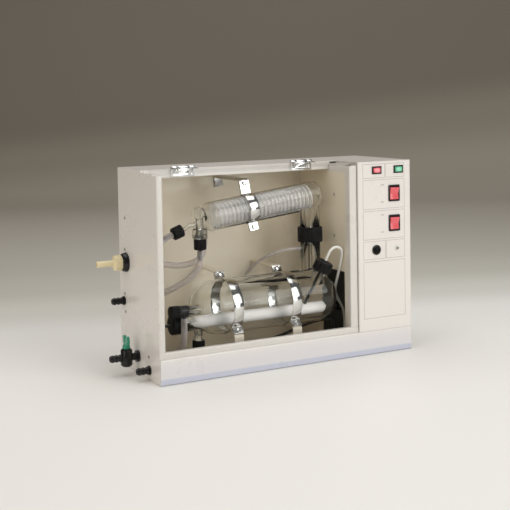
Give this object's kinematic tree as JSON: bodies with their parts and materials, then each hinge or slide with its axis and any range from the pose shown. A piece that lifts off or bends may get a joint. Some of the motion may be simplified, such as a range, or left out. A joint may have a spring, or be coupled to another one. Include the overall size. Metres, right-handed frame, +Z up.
{
  "type": "water distiller",
  "caption": "Bench water distiller: a glass boiler and a coil condenser in an open sheet case with a hinged clear cover and a control panel.",
  "frame": {"origin": "centre of the case's footprint, on the surface it stands on", "axes": "+Z up, the clear cover and the control panel face -Y, the hose fittings are on the -X side"},
  "size_m": [0.61, 0.224, 0.3905],
  "materials": {
    "case_paint": "semi-gloss cream enamel",
    "clear_acrylic": "clear acrylic sheet",
    "lab_glass": "borosilicate glass",
    "clear_hose": "clear flexible tube",
    "black_cap": "black moulded plastic",
    "black_fitting": "black moulded nylon",
    "pale_fitting": "pale ivory plastic",
    "band_steel": "polished stainless strip",
    "screw_steel": "zinc plated steel",
    "hinge_steel": "polished",
    "quartz": "white quartz sheath",
    "element_wire": "wound resistance core",
    "red_rocker": "lit translucent red",
    "red_lens": "translucent red",
    "green_lens": "translucent green",
    "green_handle": "translucent green",
    "white_sleeve": "white silicone sleeve",
    "black_sleeve": "black sleeve",
    "seal_rubber": "pale silicone",
    "terminal_plastic": "moulded terminal strip"
  },
  "bodies": {
    "still": {"base_tray": "case_paint", "left_side_panel": "case_paint", "right_side_panel": "case_paint", "rear_panel": "case_paint", "top_cover": "case_paint", "partition_wall": "case_paint", "control_panel": "case_paint", "boiler_straps": "case_paint", "condenser_strap": "band_steel", "hinge_fixed_leaves": "hinge_steel", "case_screws": "screw_steel", "boiler_glass": "lab_glass", "condenser_glass": "lab_glass", "condenser_coil": "lab_glass", "column_seal_ring": "seal_rubber", "outlet_cup": "clear_acrylic", "hose_tails": "black_fitting", "feed_elbow": "black_fitting", "heater_sheath": "quartz", "heater_element": "element_wire", "level_probe": "black_fitting", "boiler_clamps": "band_steel", "condenser_clamp": "band_steel", "clamp_bolts": "band_steel", "distillate_nozzle": "pale_fitting", "nozzle_ring": "black_fitting", "tap_body": "black_fitting", "water_barbs": "black_fitting", "wall_nuts": "black_fitting", "lamp_bezels": "black_fitting", "red_lens": "red_lens", "green_lens": "green_lens", "rocker_bezels": "black_fitting", "fuse_holder": "black_fitting", "thermal_cutout": "terminal_plastic", "terminal_block": "terminal_plastic", "rear_fittings": "black_fitting", "distillate_hose": "clear_hose", "return_hose": "clear_hose", "supply_hose": "clear_hose", "feed_hose": "clear_hose", "vent_hose": "clear_hose", "sensor_cable": "white_sleeve", "heater_lead": "black_sleeve"},
    "cover": {"clear_cover": "clear_acrylic", "hinge_moving_leaves": "hinge_steel", "cover_screws": "screw_steel"},
    "tap_handle": {"tap_handle": "green_handle"},
    "upper_rocker": {"upper_rocker": "red_rocker"},
    "lower_rocker": {"lower_rocker": "red_rocker"},
    "fuse_carrier": {"fuse_carrier": "black_cap"},
    "reset_button": {"reset_button": "black_cap"},
    "column_cap": {"column_cap": "black_cap"},
    "sensor_cap": {"sensor_cap": "black_cap"},
    "outlet_cap": {"outlet_cap": "black_cap"},
    "inlet_cap": {"inlet_cap": "black_cap"},
    "feed_cap": {"feed_cap": "black_cap"},
    "heater_cap": {"heater_cap": "black_cap"},
    "drain_cap": {"drain_cap": "black_cap"}
  },
  "joints": [
    {"name": "cover_turn", "type": "hinge", "parent": "still", "child": "cover", "pos_m": [-0.063, -0.0226, 0.3879], "axis": [-1, 0, 0], "range_deg": [0, 175]},
    {"name": "tap_handle_turn", "type": "hinge", "parent": "still", "child": "tap_handle", "pos_m": [-0.299, 0.01, 0.05], "axis": [0, 0, 1], "range_deg": [0, 90]},
    {"name": "upper_rocker_turn", "type": "hinge", "parent": "still", "child": "upper_rocker", "pos_m": [0.2355, -0.097, 0.32], "axis": [-1, 0, 0], "range_deg": [0, 16]},
    {"name": "lower_rocker_turn", "type": "hinge", "parent": "still", "child": "lower_rocker", "pos_m": [0.2355, -0.097, 0.26], "axis": [-1, 0, 0], "range_deg": [0, 16]},
    {"name": "fuse_carrier_turn", "type": "hinge", "parent": "still", "child": "fuse_carrier", "pos_m": [0.192, -0.1, 0.2085], "axis": [0, -1, 0], "range_deg": [0, 90]},
    {"name": "reset_button_press", "type": "slide", "parent": "still", "child": "reset_button", "axis": [0, 1, 0], "range_m": [0, 0.002], "stiffness_N_per_m": 300, "springref_m": -0.001},
    {"name": "column_cap_turn", "type": "hinge", "parent": "still", "child": "column_cap", "pos_m": [0.0835, -0.025, 0.24], "axis": [0, 0, 1], "range_deg": [0, 270]},
    {"name": "sensor_cap_turn", "type": "hinge", "parent": "still", "child": "sensor_cap", "pos_m": [0.08632, -0.06743, 0.18128], "axis": [0.3315, -0.2983, 0.895], "range_deg": [0, 270]},
    {"name": "outlet_cap_turn", "type": "hinge", "parent": "still", "child": "outlet_cap", "pos_m": [-0.159, -0.025, 0.24], "axis": [0, 0, -1], "range_deg": [0, 270]},
    {"name": "inlet_cap_turn", "type": "hinge", "parent": "still", "child": "inlet_cap", "pos_m": [-0.20252, -0.025, 0.26626], "axis": [-0.9397, 0, -0.342], "range_deg": [0, 270]},
    {"name": "feed_cap_turn", "type": "hinge", "parent": "still", "child": "feed_cap", "pos_m": [-0.223, -0.044, 0.119], "axis": [-1, 0, 0], "range_deg": [0, 270]},
    {"name": "heater_cap_turn", "type": "hinge", "parent": "still", "child": "heater_cap", "pos_m": [-0.211, -0.025, 0.091], "axis": [-1, 0, 0], "range_deg": [0, 270]},
    {"name": "drain_cap_turn", "type": "hinge", "parent": "still", "child": "drain_cap", "pos_m": [-0.166, -0.025, 0.047], "axis": [0, 0, -1], "range_deg": [0, 270]}
  ]
}
